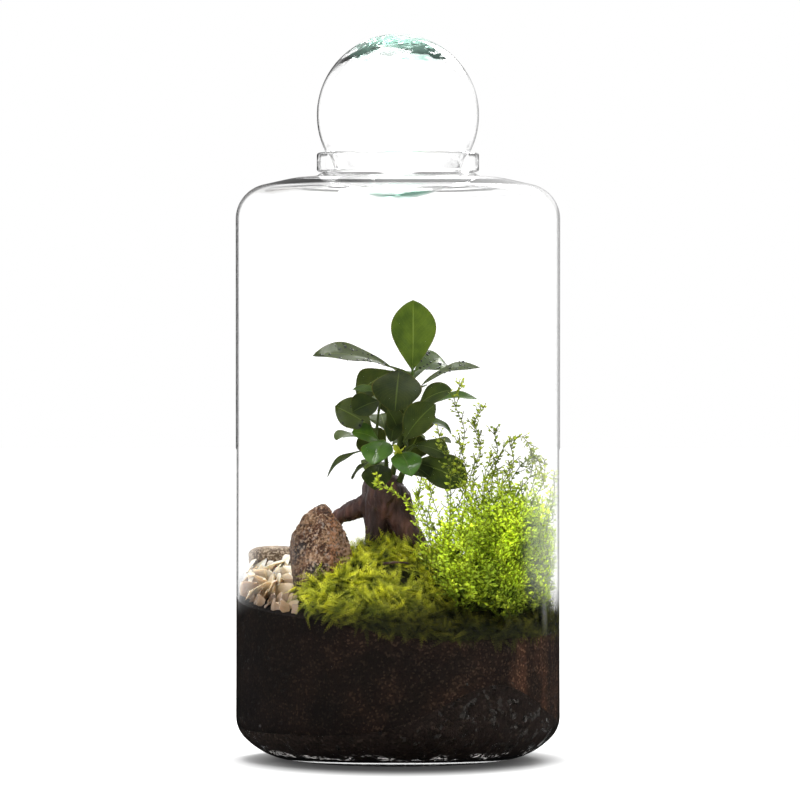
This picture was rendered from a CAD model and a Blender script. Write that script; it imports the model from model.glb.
# %% [markdown]
# # A planted glass jar, dressed in Blender
# The frame is the measured model of the object: its pieces say where everything is. Each cell below
# replaces some of them with a finer piece that keeps the same form and the same place.

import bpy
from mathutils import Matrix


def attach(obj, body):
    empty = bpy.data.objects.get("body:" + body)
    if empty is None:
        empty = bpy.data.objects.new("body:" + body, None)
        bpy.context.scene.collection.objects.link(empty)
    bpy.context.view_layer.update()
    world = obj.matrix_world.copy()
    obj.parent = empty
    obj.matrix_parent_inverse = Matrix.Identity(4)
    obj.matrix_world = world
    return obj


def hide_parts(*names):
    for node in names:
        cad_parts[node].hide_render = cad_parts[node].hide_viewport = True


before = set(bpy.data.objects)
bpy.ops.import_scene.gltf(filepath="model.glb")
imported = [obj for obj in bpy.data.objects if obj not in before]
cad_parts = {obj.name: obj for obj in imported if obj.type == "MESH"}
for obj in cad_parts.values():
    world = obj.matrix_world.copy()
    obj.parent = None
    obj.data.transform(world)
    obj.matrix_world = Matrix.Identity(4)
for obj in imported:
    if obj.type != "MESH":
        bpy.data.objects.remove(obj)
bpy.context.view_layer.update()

# %% [markdown]
# ## Small helpers
# Sizes in this file are in millimetres, as a maker would measure them, and they are turned into metres
# when a mesh is made. One helper makes a mesh object, one stores a value at each of its points, and one
# gives it its finish and its place in the frame.

# %% Helpers for meshes
import math
import random

import bmesh
import bpy
import numpy as np
from mathutils import Matrix, Vector, noise

MM = 0.001
WHITE, BLACK = (1, 1, 1, 1), (0, 0, 0, 1)


def linked(name, data):
    thing = bpy.data.objects.new(name, data)
    bpy.context.scene.collection.objects.link(thing)
    return thing


def forget(*helpers):
    for helper in helpers:
        bpy.data.objects.remove(helper)


def new_piece(name, vertices, faces, smooth=True, edges=()):
    mesh = bpy.data.meshes.new(name)
    mesh.from_pydata([tuple(MM * value for value in vertex) for vertex in vertices], edges, faces)
    mesh.update()
    if smooth:
        mesh.shade_smooth()
    return linked(name, mesh)


def finished_mesh(piece):
    return bpy.data.meshes.new_from_object(piece.evaluated_get(bpy.context.evaluated_depsgraph_get()))


def store(piece, name, values):
    kind, field = ("FLOAT", "value") if np.ndim(values[0]) == 0 else ("FLOAT_VECTOR", "vector")
    attributes = piece.data.attributes
    layer = attributes.get(name) or attributes.new(name, kind, "POINT")
    layer.data.foreach_set(field, np.array(values, dtype=float).ravel())


def settle(piece, finish, slot, *nodes):
    piece.data.materials.clear()
    piece.data.materials.append(finish.made)
    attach(piece, "root")
    if nodes:
        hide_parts(*nodes)
    print(piece.name, len(piece.data.polygons), "faces")


# %% [markdown]
# A shape is often made of several parts, such as a leaf and its stalk. `Gather` collects their
# vertices and faces, with any value that a vertex carries, and makes one mesh of them.

# %% Gather shapes into one mesh


class Gather:
    def __init__(self):
        self.vertices = []
        self.faces = []
        self.values = {}

    def add(self, vertices, faces, **values):
        start = len(self.vertices)
        self.vertices.extend(vertices)
        self.faces.extend([tuple(start + corner for corner in face) for face in faces])
        for name, value in values.items():
            given = value if isinstance(value, list) else [value] * len(vertices)
            self.values.setdefault(name, []).extend(given)

    def piece(self, name):
        made = new_piece(name, self.vertices, self.faces)
        for key, values in self.values.items():
            store(made, key, values)
        return made


# %% [markdown]
# Stems, roots and twigs all follow a smooth path, so one helper samples such a path in even steps and
# another wraps a round skin about it. Such a skin is a stack of rings of points. `ring_faces` joins each
# ring to the next one and closes both ends, and the stones use it too.

# %% Paths and tubes


def smooth_path(points, count):
    points = np.array(points, dtype=float)
    ends = [2 * points[0] - points[1], 2 * points[-1] - points[-2]]
    padded = np.vstack([ends[0], points, ends[1]])
    steps = []
    for i in range(len(points) - 1):
        a, b, c, d = padded[i : i + 4]
        for t in np.linspace(0, 1, 12, endpoint=False):
            bend = (2 * a - 5 * b + 4 * c - d) * t * t + (3 * b - a - 3 * c + d) * t**3
            steps.append(0.5 * (2 * b + (c - a) * t + bend))
    steps = np.vstack([steps, points[-1]])
    lengths = np.concatenate([[0], np.cumsum(np.linalg.norm(np.diff(steps, axis=0), axis=1))])
    even = np.linspace(0, lengths[-1], count)
    return np.column_stack([np.interp(even, lengths, steps[:, k]) for k in range(3)])


def unit(vector):
    return vector / max(np.linalg.norm(vector), 1e-9)


def round_angles(sides):
    return [2 * math.pi * k / sides for k in range(sides)]


def ring_faces(rings, sides):
    faces = []
    for ring in range(rings - 1):
        for k in range(sides):
            a, b = ring * sides + k, ring * sides + (k + 1) % sides
            faces.append((a, b, b + sides, a + sides))
    faces.append(tuple(reversed(range(sides))))
    faces.append(tuple(range((rings - 1) * sides, rings * sides)))
    return faces


def tube(path, radii, sides):
    path = np.array(path, dtype=float)
    radii = np.interp(np.linspace(0, 1, len(path)), np.linspace(0, 1, len(radii)), radii)
    tangents = np.gradient(path, axis=0)
    across = unit(np.cross(tangents[0], [0.3, 0.9, 0.2]))
    vertices = []
    for centre, tangent, radius in zip(path, tangents, radii):
        tangent = unit(tangent)
        across = unit(across - tangent * across.dot(tangent))
        other = np.cross(tangent, across)
        for angle in round_angles(sides):
            vertices.append(centre + radius * (math.cos(angle) * across + math.sin(angle) * other))
    return vertices, ring_faces(len(path), sides)


# %% [markdown]
# A finish is a tree of nodes. Written out one by one they hide what the finish does, so `Nodes` adds
# each with one short call: `fade` goes smoothly from one number to another, `ramp` turns a number into
# a colour, `blend` and `coats` lay colours over each other, and `tint` multiplies two colours.

# %% Helper for node trees


class Nodes:
    def __init__(self, tree):
        self.tree = tree

    def add(self, kind, sockets=None, **settings):
        node = self.tree.nodes.new(kind)
        for name, value in settings.items():
            setattr(node, name, value)
        self.set(node, sockets or {})
        return node

    def set(self, node, sockets):
        for key, value in sockets.items():
            if isinstance(key, int):
                socket = node.inputs[key]
            else:
                named = [one for one in node.inputs if one.name == key]
                socket = next((one for one in named if one.enabled), named[0])
            if isinstance(value, bpy.types.NodeSocket):
                self.tree.links.new(value, socket)
            else:
                socket.default_value = value

    def calc(self, operation, a, b=0.0, c=0.0):
        return self.add("ShaderNodeMath", {0: a, 1: b, 2: c}, operation=operation).outputs[0]

    def times(self, product, *factors):
        for factor in factors:
            product = self.calc("MULTIPLY", product, factor)
        return product

    def largest(self, found, *others):
        for other in others:
            found = self.calc("MAXIMUM", found, other)
        return found

    def fade(self, value, start, end, low=0.0, high=1.0):
        sockets = {"Value": value, "From Min": start, "From Max": end, "To Min": low, "To Max": high}
        return self.add("ShaderNodeMapRange", sockets, interpolation_type="SMOOTHSTEP").outputs[0]

    def ramp(self, value, stops):
        node = self.add("ShaderNodeValToRGB", {0: value})
        colours = node.color_ramp.elements
        while len(colours) < len(stops):
            colours.new(0.5)
        for element, (place, colour) in zip(colours, stops):
            element.position = place
            element.color = (*colour, 1)
        return node.outputs[0]

    def blend(self, factor, low, high, mode="MIX"):
        sockets = {0: factor, 6: low, 7: high}
        return self.add("ShaderNodeMix", sockets, data_type="RGBA", blend_type=mode).outputs[2]

    def tint(self, colour, other):
        return self.blend(1.0, colour, other, "MULTIPLY")

    def coats(self, colour, *coats):
        for mask, coat in coats:
            colour = self.blend(mask, colour, coat)
        return colour

    def pick(self, factor, low, high):
        return self.add("ShaderNodeMix", {0: factor, 2: low, 3: high}).outputs[0]

    def vector(self, operation, a, b=(0, 0, 0)):
        return self.add("ShaderNodeVectorMath", {0: a, 1: b}, operation=operation).outputs

    def parts(self, vector):
        return self.add("ShaderNodeSeparateXYZ", {0: vector}).outputs

    def place(self):
        return self.add("ShaderNodeTexCoord").outputs["Object"]


# %% [markdown]
# `Finish` is such a tree for a material. It starts from the usual shader, and can add relief to it or
# mix another shader into it, such as the light that comes through a leaf from behind.

# %% Helper for finishes


class Finish(Nodes):
    def __init__(self, name, roughness=0.8, specular=0.5):
        self.made = bpy.data.materials.new(name)
        self.made.use_nodes = True
        super().__init__(self.made.node_tree)
        self.shader = self.tree.nodes["Principled BSDF"]
        self.wear({"Roughness": roughness, "Specular IOR Level": specular})

    def wear(self, sockets):
        self.set(self.shader, sockets)

    def stored(self, name, output="Fac"):
        return self.add("ShaderNodeAttribute", attribute_name=name).outputs[output]

    def bump(self, height, distance, strength=1.0):
        node = self.add("ShaderNodeBump", {"Height": height, "Distance": distance * MM, "Strength": strength})
        for link in self.shader.inputs["Normal"].links:
            self.set(node, {"Normal": link.from_socket})
        self.wear({"Normal": node.outputs[0]})

    def mix_in(self, share, other):
        sockets = {0: share, 1: self.shader.outputs[0], 2: other}
        mixed = self.add("ShaderNodeMixShader", sockets).outputs[0]
        self.set(self.tree.nodes["Material Output"], {"Surface": mixed})

    def glow_through(self, share, colour):
        self.mix_in(share, self.add("ShaderNodeBsdfTranslucent", {"Color": colour}).outputs[0])


# %% [markdown]
# ## Camera, light and floor
# The photograph was taken from far away with a long lens, a little above the middle of the jar.
# The plants are lit softly from behind and above, which makes moss and thin leaves glow and leaves the
# near sides dark. Clear glass shows a white room. What it mirrors is dark towards the front, so that no
# grey veil lies over the leaves and the soil, and dark low down straight behind it, which draws thin
# lines along the edges. A dark screen behind at the left draws the streak on the shoulder. Two black
# flags above at the left and right give thick glass something dark to bend.

# %% Camera
scene = bpy.context.scene
camera_data = bpy.data.cameras.new("camera")
camera_data.lens = 252
camera_data.sensor_width = 36
camera = linked("camera", camera_data)
camera.location = (0.0014, -3.8, 0.299)
aim = Vector((0.0014, 0, 0.2434)) - camera.location
camera.rotation_euler = aim.to_track_quat("-Z", "Y").to_euler()
scene.camera = camera
scene.view_settings.view_transform = "Standard"
print("camera is", round(aim.length, 2), "m away")

# %% Sky
LIGHT_BEHIND, LIGHT_IN_FRONT = 1.55, 0.3
LIGHT_FROM = (0, 0.7, 0.71)  # behind the jar and above it
SEEN_THROUGH_GLASS, MIRRORED_DARK, FLAG_TONE = 1.45, 0.006, 0.36


def mirror_tone(nodes, heading):
    x, y, z = nodes.parts(heading)
    turned = nodes.calc("ADD", y, nodes.fade(x, -0.1, 0.1, -0.35, -0.1))
    beside = nodes.largest(nodes.fade(turned, -0.05, 0.3), nodes.fade(z, 0.08, 0.25))
    screen = nodes.times(nodes.fade(x, -0.012, -0.04, 0.0, 0.85), nodes.fade(z, 0.42, 0.34))
    band = nodes.largest(nodes.fade(z, 0.14, 0.06), screen)
    behind = nodes.times(nodes.fade(y, 0.9, 0.95), band)
    lost = nodes.times(behind, nodes.fade(x, -0.03, 0.03, -0.97, -0.6))
    return nodes.times(beside, nodes.calc("ADD", lost, 1.0))


def in_clear_glass(nodes, ray, mirror):
    once = nodes.calc("COMPARE", ray["Glossy Depth"], 1.0, 0.1)
    return nodes.pick(once, SEEN_THROUGH_GLASS, mirror)


scene.world = bpy.data.worlds.new("studio sky")
scene.world.use_nodes = True
sky = Nodes(scene.world.node_tree)
direction = sky.add("ShaderNodeTexCoord").outputs["Generated"]
sideways, _, upwards = sky.parts(direction)
slant = sky.vector("DOT_PRODUCT", direction, LIGHT_FROM)["Value"]
light_tone = sky.fade(slant, -0.35, 0.6, LIGHT_IN_FRONT, LIGHT_BEHIND)
to_side = sky.fade(sky.calc("ABSOLUTE", sideways), 0.22, 0.4)
flags = sky.times(to_side, sky.fade(upwards, 0.3, 0.5))
mirror = sky.largest(mirror_tone(sky, direction), MIRRORED_DARK)
ray = sky.add("ShaderNodeLightPath").outputs
in_glass = sky.pick(flags, in_clear_glass(sky, ray, mirror), FLAG_TONE)
sky_tone = sky.pick(ray["Is Singular Ray"], light_tone, in_glass)
sky_tone = sky.pick(ray["Is Camera Ray"], sky_tone, 1.0)
sky.set(scene.world.node_tree.nodes["Background"], {"Color": sky_tone, "Strength": 1.0})

# %% [markdown]
# The lamps are large and soft. Two stand behind and above, and a weak one in front makes the small
# glints on wet leaves and charcoal.

# %% Lamps


def lamp(name, place, target, size, watts):
    light = bpy.data.lights.new(name, "AREA")
    light.shape = "RECTANGLE"
    light.size, light.size_y = size
    light.energy = watts
    holder = linked(name, light)
    holder.location = place
    facing = Vector(target) - Vector(place)
    holder.rotation_euler = facing.to_track_quat("-Z", "Y").to_euler()
    holder.visible_camera = False


lamp("lamp back", (0.7, 1.5, 1.3), (0, 0, 0.15), (0.7, 0.7), 30)
lamp("lamp top", (-0.2, 0.1, 1.9), (0, 0, 0.2), (0.8, 0.8), 26)
lamp("lamp window", (-1.2, -1.5, 1.1), (0, 0, 0.2), (0.35, 0.5), 9)

# %% [markdown]
# The floor is white paper, which glows a little away from the jar so that it melts into the background,
# and is greyer under it and in front, where the jar takes the light away. Seen by way of the glass it
# carries on the tones of the room, with a pale strip at the far right and a pale patch straight behind.

# %% Floor
FLOOR_HALF, FLOOR_Z = 9000, -0.2
corners = [(x * FLOOR_HALF, y * FLOOR_HALF, FLOOR_Z) for x, y in ((-1, -1), (1, -1), (1, 1), (-1, 1))]
floor = new_piece("floor", corners, [(0, 1, 2, 3)])
paper = Finish("white floor", 0.8, 0.0)
floor_place = paper.place()
floor_reach = paper.vector("LENGTH", floor_place)["Value"]
shadow = {"Vector": floor_place, "Location": (0, 0.011, 0), "Scale": (1, 0.76, 1)}
shadow_reach = paper.vector("LENGTH", paper.add("ShaderNodeMapping", shadow).outputs[0])["Value"]
paper.wear(
    {
        "Base Color": paper.fade(shadow_reach, 0.062, 0.135, 0.08, 0.9),
        "Emission Color": WHITE,
        "Emission Strength": paper.fade(floor_reach, 0.12, 0.8, 0.05, 0.9),
    }
)
heading = paper.vector("NORMALIZE", floor_place)[0]
far_tone = paper.times(mirror_tone(paper, heading), paper.fade(floor_reach, 1.7, 2.6))
rightward, backward, _ = paper.parts(heading)
strip = paper.times(paper.fade(rightward, 0.76, 0.8), paper.fade(rightward, 0.87, 0.83))
strip = paper.times(strip, paper.fade(backward, 0.3, 0.45), paper.fade(floor_reach, 1.3, 1.7), 0.45)
straight = paper.times(paper.fade(backward, 0.955, 0.985), paper.fade(floor_reach, 0.5, 0.9))
mirrored = paper.largest(far_tone, strip, straight, MIRRORED_DARK)
ray = paper.add("ShaderNodeLightPath").outputs
in_glass = paper.add("ShaderNodeEmission", {"Strength": in_clear_glass(paper, ray, mirrored)}).outputs[0]
paper.mix_in(ray["Is Singular Ray"], in_glass)
floor.data.materials.append(paper.made)

# %% [markdown]
# ## Glass
# The jar and the ball are bodies of revolution, so their outlines are drawn once and spun. Clear glass
# is one shader. It bends what the camera sees through it, and it lets all other light straight through,
# which keeps the plants inside bright. Its colour darkens only where the glass is seen almost edge on,
# more at the left than at the right, and a smoky patch lies along the left shoulder of the jar.

# %% Clear glass
EDGE_LEFT, EDGE_RIGHT, SMOKY = (0.03, 0.02, 0.014, 1), (0.3, 0.28, 0.26, 1), (0.3, 0.26, 0.22, 1)


def glass_finish(name, edge_start):
    glass = Finish(name, 0.0)
    facing = glass.add("ShaderNodeLayerWeight", {"Blend": 0.5}).outputs["Facing"]
    place = glass.parts(glass.place())
    edge = glass.blend(glass.fade(place[0], -0.03, 0.03), EDGE_LEFT, EDGE_RIGHT)
    colour = glass.blend(glass.fade(facing, edge_start, 1.0), WHITE, edge)
    glass.wear({"IOR": 1.47, "Transmission Weight": 1.0, "Base Color": colour})
    ray = glass.add("ShaderNodeLightPath").outputs
    sheen_ray = glass.calc("SUBTRACT", ray["Is Glossy Ray"], ray["Is Singular Ray"])
    skip = glass.largest(sheen_ray, ray["Is Shadow Ray"], ray["Is Diffuse Ray"])
    glass.mix_in(skip, glass.add("ShaderNodeBsdfTransparent").outputs[0])
    return glass, colour, facing, place


jar_glass, jar_colour, jar_facing, (jar_x, _, jar_z) = glass_finish("jar glass", 0.88)
smoky = jar_glass.times(jar_glass.fade(jar_facing, 0.84, 0.92), jar_glass.fade(jar_x, -0.04, -0.08))
smoky = jar_glass.times(smoky, jar_glass.fade(jar_z, 0.376, 0.384), jar_glass.fade(jar_z, 0.393, 0.39))
jar_glass.wear({"Base Color": jar_glass.blend(smoky, jar_colour, SMOKY)})

# %% [markdown]
# The outline goes up the outside and back down the inside. A lathe helper turns it into rings, and
# the two points on the axis close it.

# %% Lathe
GLASS_SIDES, SHARP_GLASS = 144, math.radians(50)


def lathe(name, profile, ripple=None):
    vertices, faces, rings = [], [], []
    for r, z in profile:
        if r < 1e-6:
            rings.append([len(vertices)])
            vertices.append((0, 0, z))
            continue
        rings.append(range(len(vertices), len(vertices) + GLASS_SIDES))
        for angle in round_angles(GLASS_SIDES):
            point = np.array((r * math.cos(angle), r * math.sin(angle), z))
            vertices.append(point if ripple is None else ripple(point))
    for low, high in zip(rings, rings[1:]):
        for k in range(GLASS_SIDES):
            j = (k + 1) % GLASS_SIDES
            if len(low) == 1:
                faces.append((low[0], high[j], high[k]))
            elif len(high) == 1:
                faces.append((low[k], low[j], high[0]))
            else:
                faces.append((low[k], low[j], high[j], high[k]))
    piece = new_piece(name, vertices, faces)
    sculpt = bmesh.new()
    sculpt.from_mesh(piece.data)
    bmesh.ops.recalc_face_normals(sculpt, faces=sculpt.faces)
    sculpt.to_mesh(piece.data)
    sculpt.free()
    piece.data.set_sharp_from_angle(angle=SHARP_GLASS)
    return piece


def arc(cx, cz, radius, start, end, steps):
    angles = np.linspace(start, end, steps + 1)
    return [(cx + radius * math.cos(a), cz + radius * math.sin(a)) for a in angles]


# %% [markdown]
# The heel is two arcs, tight by the wall and wide by the foot, and the shoulder turns in to a short
# neck that carries a flat collar.

# %% The jar
JAR_RADIUS, JAR_WALL, JAR_FLOOR = 110, 1.8, 6
HEEL_HIGH, HEEL_LOW, HEEL_TURN = 20, 48, math.radians(43)
HEEL_HIGH_X = JAR_RADIUS - HEEL_HIGH
HEEL_LOW_X = HEEL_HIGH_X + (HEEL_HIGH - HEEL_LOW) * math.cos(HEEL_TURN)
HEEL_MEET_Z = HEEL_LOW * (1 - math.sin(HEEL_TURN))
HEEL_HIGH_Z = HEEL_MEET_Z + HEEL_HIGH * math.sin(HEEL_TURN)
SHOULDER_START, SHOULDER_RADIUS, SHOULDER_TURN = 366, 24, math.radians(78)
SHOULDER_X = JAR_RADIUS - SHOULDER_RADIUS
NECK_RADIUS, MOUTH_RADIUS = 51, 48.5
COLLAR_RADIUS, COLLAR_BOTTOM, COLLAR_TOP, COLLAR_ROUND = 55, 398.2, 411, 1.6
NECK_OUTSIDE = [(91, 389.5, 0), (70, 394, 0), (56, 395.2, 0), (NECK_RADIUS, COLLAR_BOTTOM, 0)]
NECK_INSIDE = [(MOUTH_RADIUS, 400, 0), (50, 394, 0), (68, 391, 0), (90.4, 386.5, 0)]


def heel(thickness, floor_z):
    low = HEEL_LOW - thickness
    start = -math.asin((HEEL_LOW - floor_z) / low)
    return [
        (0, floor_z),
        *arc(HEEL_LOW_X, HEEL_LOW, low, start, -HEEL_TURN, 14),
        *arc(HEEL_HIGH_X, HEEL_HIGH_Z, HEEL_HIGH - thickness, -HEEL_TURN, 0, 12)[1:],
    ]


quarter = math.pi / 2
jar_outline = [
    *heel(0, 0),
    *arc(SHOULDER_X, SHOULDER_START, SHOULDER_RADIUS, 0, SHOULDER_TURN, 18),
    *smooth_path(NECK_OUTSIDE, 10)[1:, :2],
    *arc(COLLAR_RADIUS - COLLAR_ROUND, COLLAR_BOTTOM + COLLAR_ROUND, COLLAR_ROUND, -quarter, 0, 5),
    *arc(COLLAR_RADIUS - COLLAR_ROUND, COLLAR_TOP - COLLAR_ROUND, COLLAR_ROUND, 0, quarter, 5),
    *arc(MOUTH_RADIUS + COLLAR_ROUND, COLLAR_TOP - COLLAR_ROUND, COLLAR_ROUND, quarter, 2 * quarter, 5),
    *smooth_path(NECK_INSIDE, 10)[:, :2],
    *reversed(arc(SHOULDER_X, SHOULDER_START, SHOULDER_RADIUS - JAR_WALL, 0, SHOULDER_TURN, 18)),
    *reversed(heel(JAR_WALL, JAR_FLOOR)),
]
settle(lathe("glass_jar", jar_outline), jar_glass, "glass", "jar")

# %% [markdown]
# The ball is blown thin, with a thick cap of green glass at the top whose inside is rippled, and a
# small scar at the bottom where it left the pipe. The ripples go into the inner skin only, and the
# green is a mask by height that streaks break up. Thick glass gathers light from all round, so the cap
# and the scar also glow faintly.

# %% The ball
BALL_RADIUS, BALL_WALL, BALL_HOLE = 55, 1.6, 3
BALL_CAP, BALL_CAP_WIDTH = 9.5, math.radians(31)
BALL_SCAR, BALL_SCAR_WIDTH = 4.5, math.radians(16)
BALL_CENTRE = COLLAR_TOP - 1 + math.sqrt((BALL_RADIUS + 0.3) ** 2 - MOUTH_RADIUS**2)
OUTER_SKIN, RIPPLE_SIZE = 1.2, 2.4


def ball_ripple(point):
    offset = point - np.array((0, 0, BALL_CENTRE))
    depth = BALL_RADIUS - np.linalg.norm(offset)
    if depth < OUTER_SKIN:
        return point
    height = offset[2] / BALL_RADIUS
    strength = 2.6 * max(0, height - 0.62) + 1.6 * max(0, -height - 0.93)
    long_wave = noise.noise(Vector((point[0] * 0.06, point[1] * 0.09, point[2] * 0.3)))
    short_wave = noise.noise(Vector((point[0] * 0.17, point[1] * 0.2, point[2] * 0.5)))
    return point + unit(offset) * RIPPLE_SIZE * strength * (long_wave + short_wave)


hole_angle = math.asin(BALL_HOLE / BALL_RADIUS)
ball_outline = arc(0, BALL_CENTRE, BALL_RADIUS, quarter, hole_angle - quarter, 60)
for angle in np.linspace(hole_angle, math.pi, 90):
    cap = (BALL_CAP - BALL_WALL) * math.exp(-(((math.pi - angle) / BALL_CAP_WIDTH) ** 2))
    scar = (BALL_SCAR - BALL_WALL) * math.exp(-((angle / BALL_SCAR_WIDTH) ** 2))
    reach = BALL_RADIUS - BALL_WALL - cap - scar
    ball_outline.append((reach * math.sin(angle), BALL_CENTRE - reach * math.cos(angle)))
ball_outline[0] = (0, BALL_CENTRE + BALL_RADIUS)
ball_outline[-1] = (0, ball_outline[-1][1])

ball_glass, ball_colour, _, (_, _, ball_z) = glass_finish("ball glass", 0.93)
streak_place = ball_glass.vector("MULTIPLY", ball_glass.place(), (60, 60, 260))[0]
streaks = {"Vector": streak_place, "Scale": 1.0, "Detail": 3.0}
streak = ball_glass.fade(ball_glass.add("ShaderNodeTexNoise", streaks).outputs[0], 0.4, 0.55, 0.1, 1.0)
thick = ball_glass.largest(ball_glass.fade(ball_z, 0.4785, 0.4845), ball_glass.fade(ball_z, 0.3895, 0.3865))
glow = ball_glass.times(thick, ball_glass.calc("MULTIPLY_ADD", streak, 0.6, 0.4))
ball_glass.wear(
    {
        "Base Color": ball_glass.blend(ball_glass.times(thick, streak), ball_colour, (0.28, 0.62, 0.49, 1)),
        "Emission Color": ball_glass.blend(glow, BLACK, (0.5, 1.0, 0.78, 1)),
        "Emission Strength": 0.07,
    }
)
settle(lathe("glass_ball", ball_outline, ball_ripple), ball_glass, "glass", "stopper_ball")

# %% [markdown]
# ## The ground
# Charcoal, soil and moss are layers whose heights follow simple rules: a tilted bed with a rise under
# the tree and a dip at the front. The same rules place everything that stands on them.

# %% Heights of the layers


def rise(x, y, cx, cy, width, height):
    return height * np.exp(-((x - cx) ** 2 + (y - cy) ** 2) / (2 * width**2))


def charcoal_top(x, y):
    return 22 + rise(x, y, 60, -80, 38, 34)


def soil_top(x, y):
    slope = 92 - 0.1 * x + 0.05 * y
    mound = rise(x, y, 2, 2, 54, 44) + rise(x, y, -32, -60, 20, 7) + rise(x, y, -80, 34, 26, 17)
    return slope + mound - rise(x, y, 22, -107, 35, 4)


def moss_top(x, y):
    relief = 1.6 * np.sin(0.31 * x + 1.2) * np.cos(0.27 * y)
    return soil_top(x, y) + 11 - rise(x, y, -75, -20, 30, 5) + rise(x, y, -32, -60, 18, 7) + relief


def wall_radius(z, gap=-0.25):
    inset = JAR_WALL + gap
    if z < HEEL_MEET_Z:
        return HEEL_LOW_X + math.sqrt(max((HEEL_LOW - inset) ** 2 - (HEEL_LOW - z) ** 2, 0))
    if z < HEEL_HIGH_Z:
        return HEEL_HIGH_X + math.sqrt((HEEL_HIGH - inset) ** 2 - (HEEL_HIGH_Z - z) ** 2)
    return JAR_RADIUS - inset


print("moss at the trunk is", round(float(moss_top(0, 0)), 1), "mm high")

# %% [markdown]
# A layer's skin goes from the middle of its underside out to the glass, up the wall and back to the
# middle of its top. Crumbs press against the glass and leave small hollows between them, so the wall is
# pushed inwards by noise, and the top is roughened the same way.

# %% Skin of a layer
BED_SIDES = 300
RIM = JAR_RADIUS - JAR_WALL


def lumps(x, y, z, size):
    return noise.noise(Vector((x, y, z)) / size)


def bed(name, under, top, wall_rows, top_rings, lump, depth, hold=0.25, inset=0.0):
    vertices, faces = [], []
    for angle in round_angles(BED_SIDES):
        cx, cy = math.cos(angle), math.sin(angle)
        rim_x, rim_y = RIM * cx, RIM * cy
        low, high = under(rim_x, rim_y), top(rim_x, rim_y)
        for row in range(wall_rows + 1):
            z = low + (high - low) * row / wall_rows
            push = max(0, lumps(rim_x, rim_y, z, lump) + 0.3 * lumps(rim_x, rim_y, z, lump / 3) - hold)
            r = wall_radius(z) - depth * push - inset
            vertices.append((r * cx, r * cy, z))
        for ring in range(1, top_rings):
            r = RIM * (1 - ring / top_rings)
            x, y = r * cx, r * cy
            z = top(x, y) + depth * (lumps(x, y, 0, lump) + 0.4 * lumps(x, y, 9, lump / 3))
            vertices.append((x, y, z))
    rows = wall_rows + top_rings
    middle = len(vertices)
    vertices.append((0, 0, top(0, 0)))
    vertices.append((0, 0, under(0, 0)))
    columns = [(k * rows, ((k + 1) % BED_SIDES) * rows) for k in range(BED_SIDES)]
    for start, beside in columns:
        for row in range(rows - 1):
            faces.append((start + row, beside + row, beside + row + 1, start + row + 1))
    for start, beside in columns:
        faces.append((start + rows - 1, beside + rows - 1, middle))
        faces.append((beside, start, middle + 1))
    return new_piece(name, vertices, faces)


# %% [markdown]
# Several finishes need the same thing: a coarse and a fine noise that move with the object, and small
# cells whose edges look like the cracks between crumbs. They share one node group that gives values
# only, so each finish still chooses its own colours.

# %% Shared grain
grain = Nodes(bpy.data.node_groups.new("grain", "ShaderNodeTree"))
for label, kind in (("Size", "NodeSocketFloat"), ("Stretch", "NodeSocketVector")):
    grain.tree.interface.new_socket(name=label, in_out="INPUT", socket_type=kind)
grain_in = grain.add("NodeGroupInput").outputs
stretched = grain.vector("MULTIPLY", grain.place(), grain_in["Stretch"])[0]
scaling = {0: stretched, "Scale": grain.calc("DIVIDE", 1.0, grain_in["Size"])}
sized = grain.add("ShaderNodeVectorMath", scaling, operation="SCALE").outputs[0]
coarse = grain.add("ShaderNodeTexNoise", {"Vector": sized, "Scale": 0.35, "Detail": 4.0})
fine = grain.add("ShaderNodeTexNoise", {"Vector": sized, "Scale": 2.6, "Detail": 5.0})
cells = grain.add("ShaderNodeTexVoronoi", {"Vector": sized, "Scale": 1.0})
cracks = grain.add("ShaderNodeTexVoronoi", {"Vector": sized, "Scale": 1.0}, feature="DISTANCE_TO_EDGE")
cell_tone = grain.add("ShaderNodeSeparateColor", {0: cells.outputs["Color"]})
results = {"Coarse": coarse, "Fine": fine, "Cells": cell_tone, "Cracks": cracks}
for label in results:
    grain.tree.interface.new_socket(name=label, in_out="OUTPUT", socket_type="NodeSocketFloat")
grain.add("NodeGroupOutput", {label: node.outputs[0] for label, node in results.items()})


def grained(finish, size, stretch=(1, 1, 1)):
    sockets = {"Size": size * MM, "Stretch": stretch}
    return finish.add("ShaderNodeGroup", sockets, node_tree=grain.tree).outputs


# %% [markdown]
# Damp soil is almost black, with brown crumbs of bark and peat, and it is browner where water ran down
# at the right. The charcoal layer is blacker still. Light that gets in under it shows as small glints
# just above the glass floor, so those are given a little light of their own.

# %% Soil and charcoal finishes
soil = Finish("damp soil", 0.7, 0.05)
soil_grain = grained(soil, 1.3)
SOIL_STOPS = [(0, (0.008, 0.005, 0.004)), (0.8, (0.017, 0.011, 0.008)), (1, (0.045, 0.032, 0.022))]
soil_colour = soil.ramp(soil_grain["Cells"], SOIL_STOPS)
clods = soil.ramp(grained(soil, 9.0)["Coarse"], [(0.4, (0.6, 0.6, 0.6)), (0.66, (1.35, 1.15, 1.03))])
soil_x = soil.parts(soil.place())[0]
soil_colour = soil.tint(soil.tint(soil_colour, clods), soil.fade(soil_x, -0.09, 0.05, 0.3, 0.95))
drips = soil.fade(grained(soil, 7.0, (1, 1, 0.12))["Coarse"], 0.45, 0.6)
drips = soil.times(drips, soil.fade(soil_x, 0.03, 0.085))
browner = soil.tint(soil_colour, (2.5, 2.15, 1.9, 1))
soil.wear({"Base Color": soil.blend(drips, soil_colour, browner)})
soil.bump(soil_grain["Cracks"], 0.9)
soil.bump(soil_grain["Fine"], 0.5)

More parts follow.
